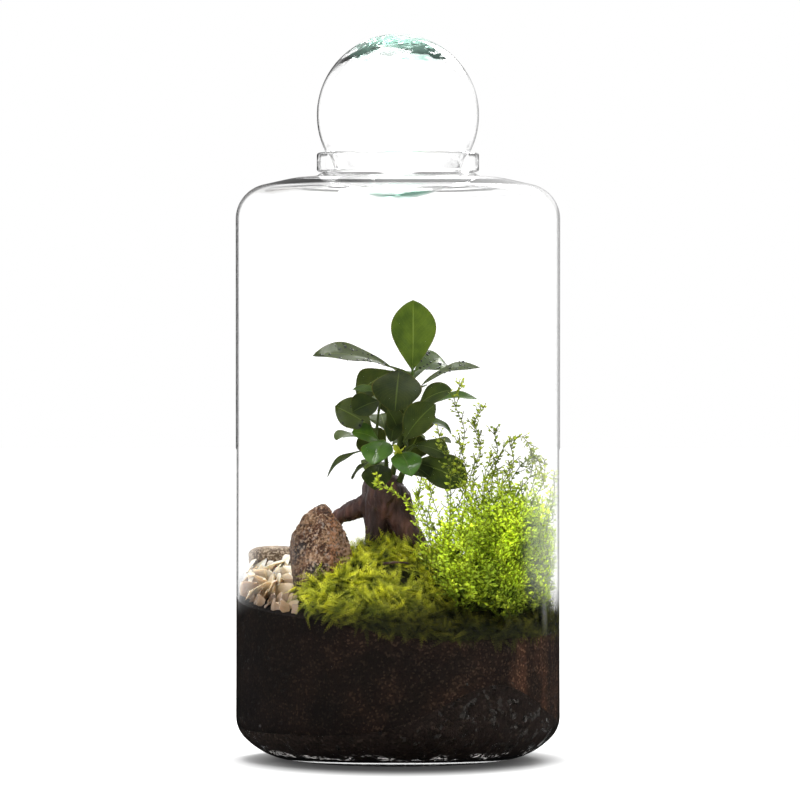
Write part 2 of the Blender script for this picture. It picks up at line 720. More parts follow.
dust = Finish("charcoal dust", 0.7, 0.05)
dust_grain = grained(dust, 1.6)
DUST_STOPS = [(0, (0.006, 0.004, 0.003)), (0.9, (0.015, 0.01, 0.008)), (1, (0.03, 0.022, 0.016))]
glint_grain = grained(dust, 4.0, (0.5, 1, 1.3))
glints = dust.times(dust.fade(glint_grain["Coarse"], 0.5, 0.6), dust.fade(glint_grain["Fine"], 0.5, 0.56))
glints = dust.times(glints, dust.fade(dust.parts(dust.place())[2], 0.0108, 0.0082))
dust.wear(
    {
        "Base Color": dust.blend(glints, dust.ramp(dust_grain["Cells"], DUST_STOPS), (0.9, 0.86, 0.82, 1)),
        "Emission Color": dust.blend(glints, BLACK, (1, 0.97, 0.94, 1)),
        "Emission Strength": 0.4,
    }
)
dust.bump(dust_grain["Cracks"], 1.0)

# %% [markdown]
# A lump of charcoal is as black as the dust, but its broken faces shine, some more than others.

# %% Broken charcoal
coal = Finish("broken charcoal", 0.35, 0.26)
coal_grain = grained(coal, 4.0)
COAL_STOPS = [(0.3, (0.003, 0.003, 0.003)), (0.7, (0.01, 0.009, 0.008))]
coal.wear(
    {
        "Base Color": coal.ramp(coal_grain["Fine"], COAL_STOPS),
        "Roughness": coal.fade(coal_grain["Coarse"], 0.3, 0.7, 0.08, 0.4),
        "Specular Tint": (1, 0.9, 0.8, 1),
    }
)
coal.bump(coal_grain["Fine"], 0.3)

# %% [markdown]
# The charcoal touches the glass floor only here and there, so its underside is lumpy. The soil lies on
# it with a hair's gap, so that the two skins never share a face.

# %% The two beds
BED_GAP = 0.2


def charcoal_under(x, y):
    return 6.1 + max(0.0, 2.6 * lumps(x, y, 0, 5))


def soil_under(x, y):
    return charcoal_top(x, y) + BED_GAP


charcoal_layer = bed("charcoal_layer", charcoal_under, charcoal_top, 30, 6, 5, 2.6, 0.05)
settle(charcoal_layer, dust, "charcoal", "charcoal_bed")
soil_layer = bed("soil_layer", soil_under, soil_top, 60, 14, 3.5, 1.3)
settle(soil_layer, soil, "soil", "soil_bed")

# %% [markdown]
# ## Pieces scattered over a surface
# Chunks of charcoal, moss sprigs and drops of water are all small copies spread over a surface. One
# geometry nodes tree does it: it picks random points where the surface's `cover` value allows, sets a
# copy on each, leans and turns it, and presses whatever would pass the glass back inside it. `Growth`
# holds what such a tree shares with the one that leafs the twigs later on.

# %% Helper for growing pieces


class Growth(Nodes):
    def __init__(self, name, sockets):
        super().__init__(bpy.data.node_groups.new(name, "GeometryNodeTree"))
        interface = self.tree.interface
        for label, kind in {**sockets, "Seed": "Int", "Finish": "Material"}.items():
            interface.new_socket(name=label, in_out="INPUT", socket_type=f"NodeSocket{kind}")
        interface.new_socket(name="Pieces", in_out="OUTPUT", socket_type="NodeSocketGeometry")
        self.given = self.add("NodeGroupInput").outputs

    def stored(self, name):
        return self.add("GeometryNodeInputNamedAttribute", {"Name": name}, data_type="FLOAT").outputs[0]

    def random(self, low, high, shift):
        sockets = {2: low, 3: high, "Seed": self.calc("ADD", self.given["Seed"], float(shift))}
        return self.add("FunctionNodeRandomValue", sockets, data_type="FLOAT").outputs[1]

    def joined(self, x=0.0, y=0.0, z=0.0):
        return self.add("ShaderNodeCombineXYZ", {0: x, 1: y, 2: z}).outputs[0]

    def turned(self, facing, x=0.0, y=0.0, z=0.0):
        turn = self.add("FunctionNodeEulerToRotation", {0: self.joined(x, y, z)}).outputs[0]
        return self.add("FunctionNodeRotateRotation", {0: facing, 1: turn}, rotation_space="LOCAL").outputs[0]

    def copies(self, points, model, turn, size):
        shape = self.add("GeometryNodeObjectInfo", {"Object": model}).outputs["Geometry"]
        sockets = {"Points": points, "Instance": shape, "Rotation": turn, "Scale": size}
        return self.add("GeometryNodeInstanceOnPoints", sockets).outputs[0]

    def marked(self, geometry, name, value, domain):
        sockets = {"Geometry": geometry, "Name": name, "Value": value}
        node = self.add("GeometryNodeStoreNamedAttribute", sockets, data_type="FLOAT", domain=domain)
        return node.outputs[0]

    def solid(self, instances):
        return self.add("GeometryNodeRealizeInstances", {0: instances}).outputs[0]

    def close(self, geometry):
        sockets = {"Geometry": geometry, "Material": self.given["Finish"]}
        self.add("NodeGroupOutput", {0: self.add("GeometryNodeSetMaterial", sockets).outputs[0]})

    def grow(self, name, carrier, values):
        modifier = carrier.modifiers.new("growth", "NODES")
        modifier.node_group = self.tree
        for socket in self.tree.interface.items_tree:
            if socket.in_out == "INPUT" and socket.name in values:
                modifier[socket.identifier] = values[socket.name]
        mesh = finished_mesh(carrier)
        carrier.modifiers.remove(modifier)
        mesh.name = name
        print(name, "grew", len(mesh.polygons), "faces")
        return linked(name, mesh)


# %% [markdown]
# The scattering tree draws all its random numbers from one seed, so the same pieces grow every time.
# Each copy also gets a random `tone`, which its finish can use. At the end, whatever lies beyond the
# wall radius is moved straight back to it, towards the jar's axis.

# %% Tree that scatters a piece
SCATTER_SIZES = {label: "Float" for label in ("Density", "Smallest", "Largest", "Lean", "Wall radius")}
scatter = Growth("scattered pieces", {"Surface": "Geometry", "Piece": "Object", **SCATTER_SIZES})
given = scatter.given
density = scatter.times(given["Density"], scatter.stored("cover"))
spread = {"Mesh": given["Surface"], "Density": density, "Seed": given["Seed"]}
spots = scatter.add("GeometryNodeDistributePointsOnFaces", spread).outputs
facing = scatter.add("FunctionNodeAlignRotationToVector", {"Vector": spots["Normal"]}, axis="Z").outputs[0]
lean_back = scatter.times(given["Lean"], -1.0)
lean_x, lean_y = [scatter.random(lean_back, given["Lean"], shift) for shift in (1, 2)]
turn = scatter.turned(scatter.turned(facing, lean_x, lean_y), z=scatter.random(0.0, 2 * math.pi, 3))
size = scatter.random(given["Smallest"], given["Largest"], 4)
copies = scatter.copies(spots["Points"], given["Piece"], turn, size)
solid = scatter.solid(scatter.marked(copies, "tone", scatter.random(0.0, 1.0, 5), "INSTANCE"))
at = scatter.add("GeometryNodeInputPosition").outputs[0]
at_x, at_y, _ = scatter.parts(at)
reach = scatter.vector("LENGTH", scatter.joined(at_x, at_y))["Value"]
share = scatter.calc("MINIMUM", scatter.calc("DIVIDE", given["Wall radius"], reach), 1.0)
pressed = scatter.vector("MULTIPLY", at, scatter.joined(share, share, 1.0))[0]
scatter.close(scatter.add("GeometryNodeSetPosition", {"Geometry": solid, "Position": pressed}).outputs[0])
INNER_WALL = (JAR_RADIUS - JAR_WALL + 0.1) * MM

# %% [markdown]
# A chunk is the hull of a few random points, which gives the flat broken faces of charcoal and stone.
# Whole chunks show where the heap stands against the glass, mostly at the right, and strays are mixed
# into the soil above it. A last pass presses them all inside the curved heel of the jar.

# %% Chunks of charcoal
NEAR_WALL = 5


def hull(points):
    shape = bmesh.new()
    for point in points:
        shape.verts.new(point)
    made = bmesh.ops.convex_hull(shape, input=shape.verts)
    unused = made["geom_unused"] + made["geom_interior"]
    loose = [one for one in unused if isinstance(one, bmesh.types.BMVert)]
    bmesh.ops.delete(shape, geom=list(set(loose)), context="VERTS")
    shape.verts.index_update()
    vertices = [tuple(vertex.co) for vertex in shape.verts]
    faces = [tuple(vertex.index for vertex in face.verts) for face in shape.faces]
    shape.free()
    return vertices, faces


def shard(draw, long, wide, thin, count):
    points = []
    for _ in range(count):
        place = unit(np.array([draw.gauss(0, 1) for _ in range(3)]))
        points.append(tuple(place * np.array((long, wide, thin)) * draw.uniform(0.38, 0.5)))
    return hull(points)


def set_cover(piece, rule):
    store(piece, "cover", [rule(*(vertex.co / MM)) for vertex in piece.data.vertices])


def near_wall(x, y, z):
    return math.hypot(x, y) > wall_radius(z) - NEAR_WALL


def charcoal_cover(x, y, z):
    at_right = np.clip((x + 10) / 30, 0.2, 1)
    below_top = np.clip((charcoal_top(x, y) - z) / 14 + 0.2, 0.2, 1)
    return float(at_right * below_top) if near_wall(x, y, z) and z > 9 else 0.0


def stray_cover(x, y, z):
    over = z - charcoal_top(x, y)
    return float(np.clip(0.8 - over / 22, 0, 1)) if near_wall(x, y, z) and over > 1 else 0.0


def press_inside(piece):
    for vertex in piece.data.vertices:
        x, y, z = vertex.co / MM
        limit = wall_radius(max(z, JAR_FLOOR), -0.1)
        reach = math.hypot(x, y)
        if reach > limit:
            vertex.co.xy *= limit / reach
        vertex.co.z = max(vertex.co.z, (JAR_FLOOR + 0.1) * MM)


chunk = new_piece("chunk", *shard(random.Random(4), 7, 5.5, 5, 12), smooth=False)
CHUNK_VALUES = {"Piece": chunk, "Lean": 3.0, "Wall radius": INNER_WALL, "Finish": coal.made}
for name, layer, rule, density, smallest, largest, seed in (
    ("charcoal_chunks", charcoal_layer, charcoal_cover, 34000.0, 0.5, 1.35, 3),
    ("charcoal_strays", soil_layer, stray_cover, 13000.0, 0.4, 1.1, 6),
):
    set_cover(layer, rule)
    values = {**CHUNK_VALUES, "Density": density, "Smallest": smallest, "Largest": largest, "Seed": seed}
    chunks = scatter.grow(name, layer, values)
    press_inside(chunks)
    chunks.data.shade_flat()
    settle(chunks, coal, "charcoal")
forget(chunk)

# %% [markdown]
# ## Moss
# The cushion under the sprigs only has to be dark and uneven: what the eye sees is a fur of feathery
# sprigs, yellow where the light reaches them and deep green near the ground. The cushion follows the
# soil, sinks away at its left edge and stands against the glass at the front.

# %% Moss cushion
MOSS_EDGE = [(-66, -112), (-62, -84), (-67, -62), (-65, -34), (-60, -6)]
MOSS_EDGE += [(-56, 22), (-62, 44), (-72, 66), (-86, 112)]
EDGE_WIDTH = 7
edge_path = smooth_path([(x, y, 0) for x, y in MOSS_EDGE], 60)


def moss_share(x, y):
    edge = np.interp(y, edge_path[:, 1], edge_path[:, 0])
    return float(np.clip((x - edge) / EDGE_WIDTH, 0, 1))


def cushion_top(x, y):
    share = moss_share(x, y) ** 0.5
    tufts = 4.0 * lumps(x, y, 3, 13) + 1.8 * lumps(x, y, 5, 5)
    return soil_top(x, y) - 1.5 + share * (moss_top(x, y) - soil_top(x, y) - 3.0 + tufts)


def cushion_under(x, y):
    return soil_top(x, y) - 1.6


cushion = bed("moss_cushion", cushion_under, cushion_top, 8, 60, 3.0, 0.6, inset=1.4)
ground = Finish("moss ground", 0.9, 0.1)
ground_grain = grained(ground, 1.6)
ground_colour = ground.ramp(ground_grain["Cells"], [(0, (0.005, 0.005, 0.002)), (1, (0.022, 0.022, 0.006))])
ground.wear({"Base Color": ground_colour})
ground.bump(ground_grain["Cracks"], 1.0)
settle(cushion, ground, "moss", "moss_mound")

# %% [markdown]
# A sprig is a thin stem with two rows of narrow leaflets, like a small feather, that rises a little
# and then lies over its neighbours. Its `along` value runs from 0 at the root to 1 at the tip, and the
# finish uses it to go from dark to bright.

# %% Moss sprig
SPRIG_LENGTH, SPRIG_PAIRS, SPRIG_RISE = 16, 9, 0.5
FROND_LENGTH, FROND_SPREAD = 3.2, 0.75


def spine(t):
    forward = SPRIG_LENGTH * (0.3 * t + 0.62 * t**1.5)
    upward = SPRIG_RISE * SPRIG_LENGTH * t * (1 - 0.55 * t)
    return np.array((forward, 0.06 * SPRIG_LENGTH * t * t, upward))


def feather():
    made = Gather()
    rib, along = [], []
    for t in np.linspace(0, 1, 3):
        for side in (-1, 1):
            rib.append(spine(t) + np.array((0, side * 0.28 * (1.1 - t), 0)))
            along.append(0.8 * t)
    made.add(rib, [(2 * i, 2 * i + 1, 2 * i + 3, 2 * i + 2) for i in range(2)], along=along)
    for i in range(SPRIG_PAIRS):
        t = (i + 0.8) / SPRIG_PAIRS
        root = spine(t)
        forward = unit(root - spine(t - 0.05))
        reach = FROND_LENGTH * math.sin(math.pi * min(1, 0.25 + 0.72 * t)) ** 0.6
        for side in (-1, 1):
            out = unit(forward + side * FROND_SPREAD * np.array((0, 1, 0)) + np.array((0, 0, 0.25)))
            wide = root + 0.4 * reach * out + 0.24 * reach * forward
            corners = [root - 0.08 * reach * forward, wide, root + out * reach]
            made.add(corners, [(0, 1, 2)], along=[0.7 * t, t, min(1, t + 0.25)])
    return made


sprig = feather().piece("sprig")

# %% [markdown]
# Moss and spikemoss are thin and wet, and light from behind comes through them. Their finish runs from
# a dark root to a bright tip along each leaflet, differs a little from sprig to sprig and from patch to
# patch, and sinks into shade near the ground. High up, where old tips dry, it turns brown.

# %% Leaf finishes that light shines through
VARIED_STOPS = [(0, (0.2, 0.25, 0.24)), (0.5, (0.75, 0.78, 0.75)), (1, (1.4, 1.38, 1.05))]
PATCH_STOPS = [(0.38, (0.52, 0.56, 0.52)), (0.6, (1.3, 1.22, 0.98))]
SEE_THROUGH, BROWNING_HEIGHT = 0.42, 40


def plant_finish(name, stops, patch_size, shade, browned_above, roughness):
    plant = Finish(name, roughness, 0.2)
    colour = plant.ramp(plant.stored("along"), stops)
    colour = plant.tint(colour, plant.ramp(plant.stored("tone"), VARIED_STOPS))
    colour = plant.tint(colour, plant.ramp(grained(plant, patch_size)["Coarse"], PATCH_STOPS))
    x, _, z = plant.parts(plant.place())
    depth = plant.fade(plant.calc("MULTIPLY_ADD", x, -0.1, z), shade[0] * MM, shade[1] * MM)
    colour = plant.blend(depth, plant.tint(colour, (0.08, 0.08, 0.05, 1)), colour)
    browned = plant.tint(colour, (0.38, 0.37, 0.5, 1))
    above = plant.fade(z, browned_above * MM, (browned_above + BROWNING_HEIGHT) * MM)
    colour = plant.blend(above, colour, browned)
    plant.wear({"Base Color": colour})
    plant.glow_through(SEE_THROUGH, colour)
    return plant


MOSS_STOPS = [
    (0, (0.02, 0.026, 0.003)),
    (0.3, (0.2, 0.22, 0.009)),
    (0.65, (0.82, 0.86, 0.045)),
    (1, (1.0, 1.0, 0.24)),
]
moss = plant_finish("moss sprigs", MOSS_STOPS, 5, (97, 123), 300, 0.6)

# %% [markdown]
# Sprigs grow on the cushion's top and on its side, where the glass presses them flat. None grow on its
# underside, and the place of the twig is left clear. The front and the back are two pieces.

# %% Moss sprigs on the cushion
TWIG_LINE = [(-10, -52), (-2, -51), (7, -50)]
TWIG_ROOM, FRONT_END_Y = 7, 4
WALL_BAND, WALL_DENSITY = 2, 1.7


def moss_cover(x, y, z):
    on_wall = math.hypot(x, y) > RIM - WALL_BAND
    if z < cushion_under(x, y) + (5 if on_wall else 0.5):
        return 0.0
    near_twig = min(math.hypot(x - tx, y - ty) for tx, ty in TWIG_LINE)
    clear = np.clip((near_twig - TWIG_ROOM) / TWIG_ROOM, 0.03, 1)
    return moss_share(x, y) ** 2 * (WALL_DENSITY if on_wall else clear)


MOSS_VALUES = {
    "Piece": sprig,
    "Smallest": 0.45,
    "Largest": 1.15,
    "Lean": 0.5,
    "Wall radius": INNER_WALL + 0.4 * MM,
    "Seed": 8,
    "Finish": moss.made,
}
for name, front, density in (("moss_sprigs_front", True, 290000.0), ("moss_sprigs_back", False, 220000.0)):
    set_cover(cushion, lambda x, y, z: moss_cover(x, y, z) if (y < FRONT_END_Y) == front else 0.0)
    settle(scatter.grow(name, cushion, {**MOSS_VALUES, "Density": density}), moss, "moss")
forget(sprig)

# %% [markdown]
# ## Stones
# The tall rock stands on its end: its outline at each height comes from the same rows as the frame's
# piece. Noise breaks the surface into ledges and pits, and random flat cuts take the bulges off, as
# breaks do on a real stone. Its finish is a reddish ground with crystals, flecks and pits over it, a
# streak of rust in the middle and a paler right side.

# %% Tall rock
ROCK_ROWS = [
    (98, -64, -34, -52, -27),
    (112, -68.5, -30, -58, -23),
    (128, -73.5, -29, -59, -21),
    (140, -74.5, -31, -57, -22),
    (151, -72.5, -34.5, -53, -24),
    (160, -68, -37, -49, -27),
    (167, -62.5, -41.5, -46, -31),
    (172, -56, -45.5, -43, -35),
    (174.2, -51.5, -48.5, -40, -38),
]
ROCK_CORNERS = [1, 0.88, 1.04, 0.9, 1.03, 0.92, 0.98, 0.93, 1.12, 0.94]
ROCK_SIDES, ROCK_STEPS, ROCK_CUTS = 150, 110, 18


def chiselled(points, cuts, seed):
    draw = random.Random(seed)
    middle = points.mean(axis=0)
    for _ in range(cuts):
        normal = unit(np.array((draw.gauss(0, 1), draw.gauss(0, 1), draw.gauss(0, 0.45))))
        reach = (points - middle) @ normal
        over = np.maximum(reach - draw.uniform(0.82, 0.94) * reach.max(), 0)
        points = points - 0.9 * over[:, None] * normal
    return points


def rock_piece():
    table = np.array(ROCK_ROWS, dtype=float)
    corner_angles = np.linspace(0, 2 * math.pi, len(ROCK_CORNERS) + 1)
    corners = [*ROCK_CORNERS, ROCK_CORNERS[0]]
    vertices = []
    for step in np.linspace(0, 1, ROCK_STEPS) ** 0.8:
        z = table[0, 0] + (table[-1, 0] - table[0, 0]) * step
        left, right, front, back = [np.interp(z, table[:, 0], table[:, k]) for k in range(1, 5)]
        for angle in round_angles(ROCK_SIDES):
            corner = np.interp(angle, corner_angles, corners)
            x = (left + right) / 2 + (right - left) / 2 * corner * math.cos(angle)
            y = (front + back) / 2 + (back - front) / 2 * corner * math.sin(angle)
            ledge = abs(lumps(x, y, 0.45 * z, 11)) + 0.4 * abs(lumps(x, y, z, 3.2))
            push = 1.4 - 4.4 * ledge + 1.5 * lumps(x, y, z, 1.5)
            scale = min(1, (table[-1, 0] - z) / 8 + 0.15)
            vertices.append((x + push * scale * math.cos(angle), y + push * scale * math.sin(angle), z))
    vertices = chiselled(np.array(vertices), ROCK_CUTS, 41)
    return new_piece("standing_rock", vertices, ring_faces(ROCK_STEPS, ROCK_SIDES))


rock = Finish("reddish rock", 0.65, 0.35)
rock_grain, rock_fine = grained(rock, 4.5), grained(rock, 2.0)
ROCK_STOPS = [(0.38, (0.026, 0.01, 0.005)), (0.5, (0.135, 0.052, 0.02)), (0.62, (0.3, 0.165, 0.085))]
rock_x = rock.parts(rock.place())[0]
rock_specks = rock_grain["Fine"]
rust = rock.times(rock.fade(rock_x, -0.05, -0.042), rock.fade(rock_specks, 0.4, 0.6), 0.8)
pale = rock.times(rock.fade(rock_x, -0.045, -0.036), rock.fade(rock_specks, 0.42, 0.55), 0.4)
rock_colour = rock.coats(
    rock.ramp(rock_grain["Coarse"], ROCK_STOPS),
    (rock.fade(rock_fine["Cells"], 0.75, 0.9, 0.0, 0.4), (0.6, 0.5, 0.42, 1)),
    (rock.fade(rock_specks, 0.54, 0.62, 0.0, 0.8), (0.56, 0.39, 0.25, 1)),
    (rock.fade(rock_specks, 0.47, 0.38, 0.0, 0.7), (0.012, 0.008, 0.006, 1)),
    (rust, (0.3, 0.1, 0.025, 1)),
    (pale, (0.42, 0.33, 0.26, 1)),
)
shaded = rock.tint(rock_colour, (0.42, 0.38, 0.34, 1))
rock.wear({"Base Color": rock.blend(rock.fade(rock_x, -0.069, -0.058), shaded, rock_colour)})
rock.bump(rock_specks, 3.0)
rock.bump(rock_fine["Fine"], 1.2)
settle(rock_piece(), rock, "rock", "rock_tall")

# %% [markdown]
# The flat stone is a worn slab, so a rounded box that noise roughens is enough. Its rings are more
# square than round, and they close in quickly at the top and the bottom.

# %% Flat stone
STONE = {"x": -82, "y": 22, "z": 135.5, "length": 41, "depth": 27, "height": 16, "turn": 0.12}
STONE_SIDES, STONE_ROWS = 120, 50


def stone_piece():
    vertices = []
    for lift in [-1 + 2 * row / (STONE_ROWS - 1) for row in range(STONE_ROWS)]:
        reach = max(0.02, (1 - abs(lift) ** 3.2)) ** 0.36
        for angle in round_angles(STONE_SIDES):
            square = 1 / (abs(math.cos(angle)) ** 3 + abs(math.sin(angle)) ** 3) ** (1 / 3)
            x = STONE["length"] / 2 * reach * square * math.cos(angle)
            y = STONE["depth"] / 2 * reach * square * math.sin(angle)
            z = STONE["height"] / 2 * lift
            rough = 1 + 0.05 * lumps(x, y, z, 9) + 0.025 * lumps(x, y, z, 3)
            x, y, z = x * rough, y * rough, z * (1 + 0.08 * lumps(x, y, 7, 8))
            turned_x = x * math.cos(STONE["turn"]) - y * math.sin(STONE["turn"])
            turned_y = x * math.sin(STONE["turn"]) + y * math.cos(STONE["turn"])
            vertices.append((STONE["x"] + turned_x, STONE["y"] + turned_y, STONE["z"] + z))
    return new_piece("flat_stone", vertices, ring_faces(STONE_ROWS, STONE_SIDES))


stone = Finish("tan stone", 0.8, 0.35)
stone_grain = grained(stone, 4.0)
STONE_STOPS = [(0.3, (0.08, 0.05, 0.03)), (0.5, (0.2, 0.145, 0.095)), (0.7, (0.34, 0.26, 0.18))]
stone_colour = stone.coats(
    stone.ramp(stone_grain["Coarse"], STONE_STOPS),
    (stone.fade(stone_grain["Fine"], 0.5, 0.6, 0.0, 0.7), (0.52, 0.42, 0.31, 1)),
    (stone.fade(stone_grain["Fine"], 0.47, 0.4, 0.0, 0.7), (0.06, 0.036, 0.02, 1)),
)
stone.wear({"Base Color": stone_colour})
stone.bump(stone_grain["Fine"], 1.2)
settle(stone_piece(), stone, "stone", "rock_flat")

# %% [markdown]
# ## White chips
# The chips are flakes of milky stone, each the hull of random points in a flattened ball. They are piled
# from the soil line at the glass up to the flat stone, broad and white above, narrow and tan below where
# soil clings to them. Light sinks into them a little.

# %% Chip heap
CHIP_STEP, CHIP_LAYER, LOW_BELOW = 8.5, 7, 114
HEAP_START, HEAP_END = math.radians(172), math.radians(233)
HEAP_EDGE_X, STONE_LEFT_X, STONE_FRONT_Y = -68, -104, 6


def heap_top(x, y):
    return 131 + 0.5 * y + 0.16 * (x + 90)


def chip_turn(draw, angle, low):
    turn = Matrix.Rotation(draw.gauss(0, 0.7) + angle, 3, "Z") @ Matrix.Rotation(math.pi / 2, 3, "Z")
    turn = turn @ Matrix.Rotation(draw.gauss(1.25, 0.3), 3, "X")
    return turn @ Matrix.Rotation(draw.gauss(0, 0.35 if low else 1.0), 3, "Z")


def add_chip(heap, draw, centre, angle, top):
    low = centre.z < LOW_BELOW
    vertices, faces = shard(draw, 11 if low else 19, 22, 3.6, 14)
    turn = chip_turn(draw, angle, low)
    size = draw.uniform(0.6, 1.05) * (1.0 if low else 1.2)
    placed = []
    for vertex in vertices:
        point = centre + size * (turn @ Vector(vertex))
        reach = math.hypot(point.x, point.y)
        if reach > RIM:
            point.xy *= RIM / reach
        point.z = min(point.z, top + 3)
        placed.append(tuple(point))
    tone = (centre.z - 97) / 32 + draw.uniform(-0.3, 0.15)
    heap.add(placed, faces, tone=float(np.clip(tone, 0, 1)))


def chip_heap():
    draw = random.Random(12)
    heap = Gather()
    for radius in (71, 77, 83, 89, 95, 101):
        angle = HEAP_START
        while angle < HEAP_END:
            angle += CHIP_STEP / radius * draw.uniform(0.7, 1.1)
            x, y = radius * math.cos(angle), radius * math.sin(angle)
            in_stone = y > STONE_FRONT_Y and x > STONE_LEFT_X
            if x > HEAP_EDGE_X or in_stone:
                continue
            ground_z = float(soil_top(x, y))
            top = max(heap_top(x, y), ground_z + 4)
            for row in range(int(max(1, (top - ground_z + 8) // CHIP_LAYER))):
                centre = Vector((x, y, top - 3.0 - CHIP_LAYER * row + draw.uniform(-2, 2)))
                add_chip(heap, draw, centre, angle, top)
    made = heap.piece("chip_heap")
    made.data.set_sharp_from_angle(angle=math.radians(60))
    return made


chips = Finish("milky chips", 0.35, 0.5)
CHIP_STOPS = [
    (0, (0.11, 0.065, 0.035)),
    (0.3, (0.3, 0.2, 0.12)),
    (0.6, (0.62, 0.5, 0.34)),
    (1, (0.92, 0.88, 0.79)),
]
chip_grain = grained(chips, 4.0)
cloudy = chips.ramp(chip_grain["Coarse"], [(0.35, (0.8, 0.74, 0.62)), (0.6, (1, 1, 1))])
chips.wear(
    {
        "Base Color": chips.tint(chips.ramp(chips.stored("tone"), CHIP_STOPS), cloudy),
        "Subsurface Weight": 0.65,
        "Subsurface Radius": (1.0, 0.8, 0.6),
        "Subsurface Scale": 0.003,
    }
)
chips.bump(chip_grain["Fine"], 0.25)
settle(chip_heap(), chips, "chips", "white_chips")

# %% [markdown]
# ## The small tree
# The trunk is a swollen bole on legs, as a fig makes from its roots. Each limb is a tapered tube; they
# are fused by remeshing, relaxed, and then pushed in and out by long upright ridges of bark.

# %% Trunk
TRUNK_LIMBS = [
    ([(-7, 8, 193), (-9, 8, 186), (-9, 8, 176), (-8, 8, 168), (-7, 9, 162)], [9, 14, 15, 12.5, 7]),
    ([(-14, 8, 178), (-15, 7, 161), (-15.5, 6, 148), (-14.5, 5, 122)], [9.5, 7.8, 6.0, 5.0]),
    ([(-2, 8, 178), (2, 6, 164), (7, 4, 154), (12, 2, 146), (16, -2, 122)], [10, 8.8, 7.6, 7.2, 5.5]),
    (
        [(-14, 9, 176), (-24, 10, 171), (-32, 11, 167.5), (-41, 14, 163), (-49, 20, 148), (-52, 24, 116)],
        [8, 6, 4.6, 4, 3.6, 2.6],
    ),
    ([(-8, 12, 176), (-5, 24, 163), (-1, 33, 147), (2, 38, 120)], [9, 7.5, 5.4, 3.6]),
]
FUSE_SIZE, RELAX_ROUNDS = 1.15, 10


def trunk_piece():
    limbs = Gather()
    for points, radii in TRUNK_LIMBS:
        limbs.add(*tube(smooth_path(points, 30), radii, 20))
    rough = limbs.piece("trunk_limbs")
    remesh = rough.modifiers.new("fuse", "REMESH")
    remesh.mode = "VOXEL"
    remesh.voxel_size = FUSE_SIZE * MM
    rough.modifiers.new("relax", "SMOOTH").iterations = RELAX_ROUNDS
    mesh = finished_mesh(rough)
    normals = [vertex.normal.copy() for vertex in mesh.vertices]
    for vertex, normal in zip(mesh.vertices, normals):
        x, y, z = vertex.co / MM
        ridge = abs(noise.noise(Vector((x / 3.0, y / 3.0, z / 16))))
        knots = noise.noise(Vector((x / 9, y / 9, z / 9)))
        pits = noise.noise(Vector((x / 1.6, y / 1.6, z / 2.6)))
        vertex.co += normal * MM * (0.9 - 2.4 * ridge + 1.1 * knots + 0.25 * pits)
    mesh.shade_smooth()
    forget(rough)
    return linked("tree_trunk", mesh)


bark = Finish("fig bark", 0.62, 0.4)
bark_grain = grained(bark, 2.4, (1, 1, 0.25))
BARK_STOPS = [(0.3, (0.016, 0.007, 0.006)), (0.52, (0.045, 0.017, 0.013)), (0.72, (0.12, 0.05, 0.035))]
bark.wear({"Base Color": bark.ramp(bark_grain["Coarse"], BARK_STOPS)})
bark.bump(bark_grain["Fine"], 0.7)
bark.bump(bark_grain["Cracks"], 0.5)
settle(trunk_piece(), bark, "bark", "ficus_trunk")

# %% [markdown]
# ## Leaves
# Each shoot is a stem and its leaves. A leaf is listed with the place of its base and of its tip, its
# width, the way its face looks, how much it bows, its tone and whether it is wet. Tones run from 0 for
# dark old leaves to 1 for fresh ones, and 2 is the pale green of buds. The blade is a fine grid with a
# folded middle and a slightly waved margin. It stores where each point lies across and along the
# blade, so the finish can draw the rib and the side veins.

